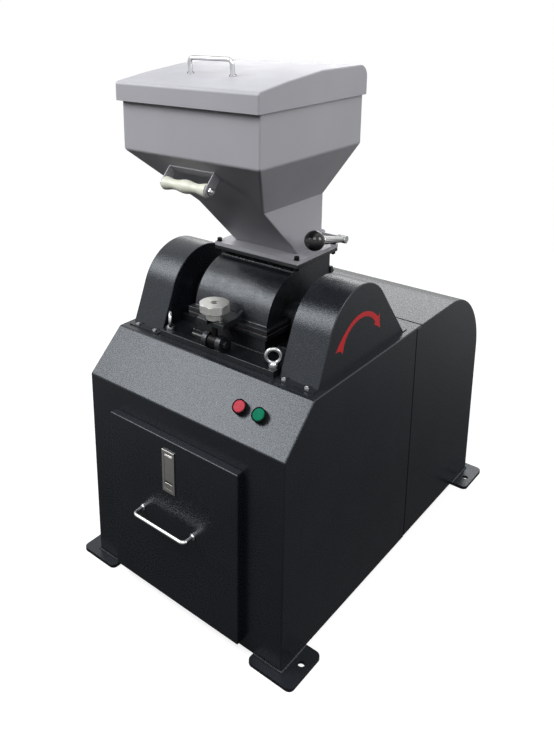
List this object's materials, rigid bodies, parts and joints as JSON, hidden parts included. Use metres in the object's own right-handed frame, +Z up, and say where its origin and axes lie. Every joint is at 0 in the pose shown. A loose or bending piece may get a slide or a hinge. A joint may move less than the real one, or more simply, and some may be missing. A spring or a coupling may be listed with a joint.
{
  "type": "grain mill",
  "caption": "Electric hammer mill for grain: black cabinet with drawer, tip-back mill casing and grey feed hopper with lid, feed flap, lifting eyes and belt guards.",
  "frame": {"origin": "Centre of the four anchor holes, on the floor plane below the feet", "axes": "+X machine's right seen from its front, +Y to its rear, +Z up"},
  "size_m": [0.57, 0.906, 1.1114],
  "materials": {
    "black_paint": "satin",
    "black_hammertone": "semi-gloss hammertone",
    "black_cast": "semi-gloss paint over cast and machined steel",
    "grey_paint": "satin powder coat",
    "grey_motor_paint": "satin paint over ribbed cast iron",
    "zinc_steel": "zinc plated",
    "bright_steel": "machined or rolled bright",
    "hard_steel": "hardened, flat ground",
    "black_steel": "blackened",
    "cast_iron": "turned rim on cast body",
    "cast_aluminium": "fine cast",
    "chrome": "polished",
    "nickel": "dull nickel plated",
    "black_plastic": "polished moulding",
    "cream_plastic": "smooth moulding",
    "red_plastic": "smooth moulding",
    "green_plastic": "smooth moulding",
    "belt_rubber": "fabric covered",
    "gasket_rubber": "sheet"
  },
  "bodies": {
    "base": {"base_frame": "black_paint", "anchor_feet": "black_paint", "cabinet": "black_hammertone", "rear_cover": "black_hammertone", "cover_screws": "zinc_steel", "base_plate": "black_cast", "lower_casing": "black_cast", "sieve": "bright_steel", "discharge_chute": "bright_steel", "bearing_units": "black_cast", "base_bolts": "black_steel", "clamp_lug": "black_cast", "clamp_pin": "zinc_steel", "hinge_lugs": "black_cast", "hinge_pin": "bright_steel", "left_guard": "black_hammertone", "right_guard": "black_hammertone", "lifting_eyes": "zinc_steel", "button_bezels": "black_plastic", "motor": "grey_motor_paint", "drive_belts": "belt_rubber"},
    "mill_top": {"upper_casing": "black_cast", "casing_gasket": "gasket_rubber", "hinge_arms": "black_cast", "clamp_yoke": "black_cast", "hopper": "grey_paint", "casing_bolts": "black_steel", "lid_hinge_bases": "zinc_steel", "grip_bracket": "grey_paint", "grip_bolt": "zinc_steel"},
    "flap": {"feed_flap": "bright_steel", "flap_shaft": "bright_steel", "flap_lever": "chrome", "lever_ball": "black_plastic"},
    "lid": {"hopper_lid": "grey_paint", "lid_hinge_leaves": "zinc_steel", "lid_handle": "chrome"},
    "grip_sleeve": {"grip": "cream_plastic"},
    "eye_bolt": {"swing_bolt": "zinc_steel"},
    "knob": {"clamp_knob": "cast_aluminium"},
    "rotor": {"rotor_shaft": "bright_steel", "rotor_discs": "bright_steel", "hammer_pins": "bright_steel", "rotor_pulley": "cast_iron", "flywheel": "cast_iron"},
    "hammer_row_1": {"hammers_1": "hard_steel"},
    "hammer_row_2": {"hammers_2": "hard_steel"},
    "hammer_row_3": {"hammers_3": "hard_steel"},
    "hammer_row_4": {"hammers_4": "hard_steel"},
    "motor_rotor": {"motor_shaft": "bright_steel", "motor_pulley": "cast_iron"},
    "drawer": {"drawer_front": "black_hammertone", "drawer_tub": "bright_steel", "drawer_handle": "chrome", "latch_case": "nickel"},
    "paddle": {"latch_paddle": "nickel"},
    "release": {"latch_button": "nickel"},
    "tongue": {"latch_tongue": "zinc_steel"},
    "stop": {"stop_button": "red_plastic"},
    "start": {"start_button": "green_plastic"}
  },
  "joints": [
    {"name": "casing_tilt", "type": "hinge", "parent": "base", "child": "mill_top", "pos_m": [0, -0.0095, 0.584], "axis": [-1, 0, 0], "range_deg": [0, 75]},
    {"name": "flap_turn", "type": "hinge", "parent": "mill_top", "child": "flap", "pos_m": [0, -0.0655, 0.738], "axis": [-1, 0, 0], "range_deg": [0, 75]},
    {"name": "lid_open", "type": "hinge", "parent": "mill_top", "child": "lid", "pos_m": [0, -0.039, 1.023], "axis": [-1, 0, 0], "range_deg": [0, 105]},
    {"name": "grip_spin", "type": "hinge", "parent": "mill_top", "child": "grip_sleeve", "pos_m": [-0.01, -0.36882, 0.88251], "axis": [1, 0, 0], "continuous": true},
    {"name": "bolt_swing", "type": "hinge", "parent": "base", "child": "eye_bolt", "pos_m": [0, -0.3045, 0.557], "axis": [1, 0, 0], "range_deg": [0, 100]},
    {"name": "knob_turn", "type": "hinge", "parent": "eye_bolt", "child": "knob", "pos_m": [0, -0.3045, 0.62], "axis": [0, 0, 1], "continuous": true},
    {"name": "rotor_spin", "type": "hinge", "parent": "base", "child": "rotor", "pos_m": [0, -0.1575, 0.584], "axis": [1, 0, 0], "continuous": true},
    {"name": "hammer_swing_1", "type": "hinge", "parent": "rotor", "child": "hammer_row_1", "pos_m": [0, -0.1179, 0.6236], "axis": [1, 0, 0], "range_deg": [-90, 90]},
    {"name": "hammer_swing_2", "type": "hinge", "parent": "rotor", "child": "hammer_row_2", "pos_m": [0, -0.1971, 0.6236], "axis": [1, 0, 0], "range_deg": [-90, 90]},
    {"name": "hammer_swing_3", "type": "hinge", "parent": "rotor", "child": "hammer_row_3", "pos_m": [0, -0.1971, 0.5444], "axis": [1, 0, 0], "range_deg": [-90, 90]},
    {"name": "hammer_swing_4", "type": "hinge", "parent": "rotor", "child": "hammer_row_4", "pos_m": [0, -0.1179, 0.5444], "axis": [1, 0, 0], "range_deg": [-90, 90]},
    {"name": "motor_spin", "type": "hinge", "parent": "base", "child": "motor_rotor", "pos_m": [0, 0.2475, 0.158], "axis": [1, 0, 0], "continuous": true},
    {"name": "drawer_slide", "type": "slide", "parent": "base", "child": "drawer", "axis": [0, -1, 0], "range_m": [0, 0.35]},
    {"name": "latch_lift", "type": "hinge", "parent": "drawer", "child": "paddle", "pos_m": [-0.008, -0.434, 0.36], "axis": [-1, 0, 0], "range_deg": [0, 35]},
    {"name": "release_press", "type": "slide", "parent": "drawer", "child": "release", "axis": [0, 1, 0], "range_m": [0, 0.003], "stiffness_N_per_m": 300},
    {"name": "tongue_drop", "type": "slide", "parent": "drawer", "child": "tongue", "axis": [0, 0, -1], "range_m": [0, 0.0125]},
    {"name": "stop_press", "type": "slide", "parent": "base", "child": "stop", "axis": [0, 0.6772, -0.7358], "range_m": [0, 0.003], "stiffness_N_per_m": 400},
    {"name": "start_press", "type": "slide", "parent": "base", "child": "start", "axis": [0, 0.6772, -0.7358], "range_m": [0, 0.003], "stiffness_N_per_m": 400}
  ],
  "couplings": [
    {"joint": "motor_spin", "follows": "rotor_spin", "ratio": 0.73154},
    {"joint": "tongue_drop", "follows": "latch_lift", "m_per_rad": 0.019644}
  ]
}
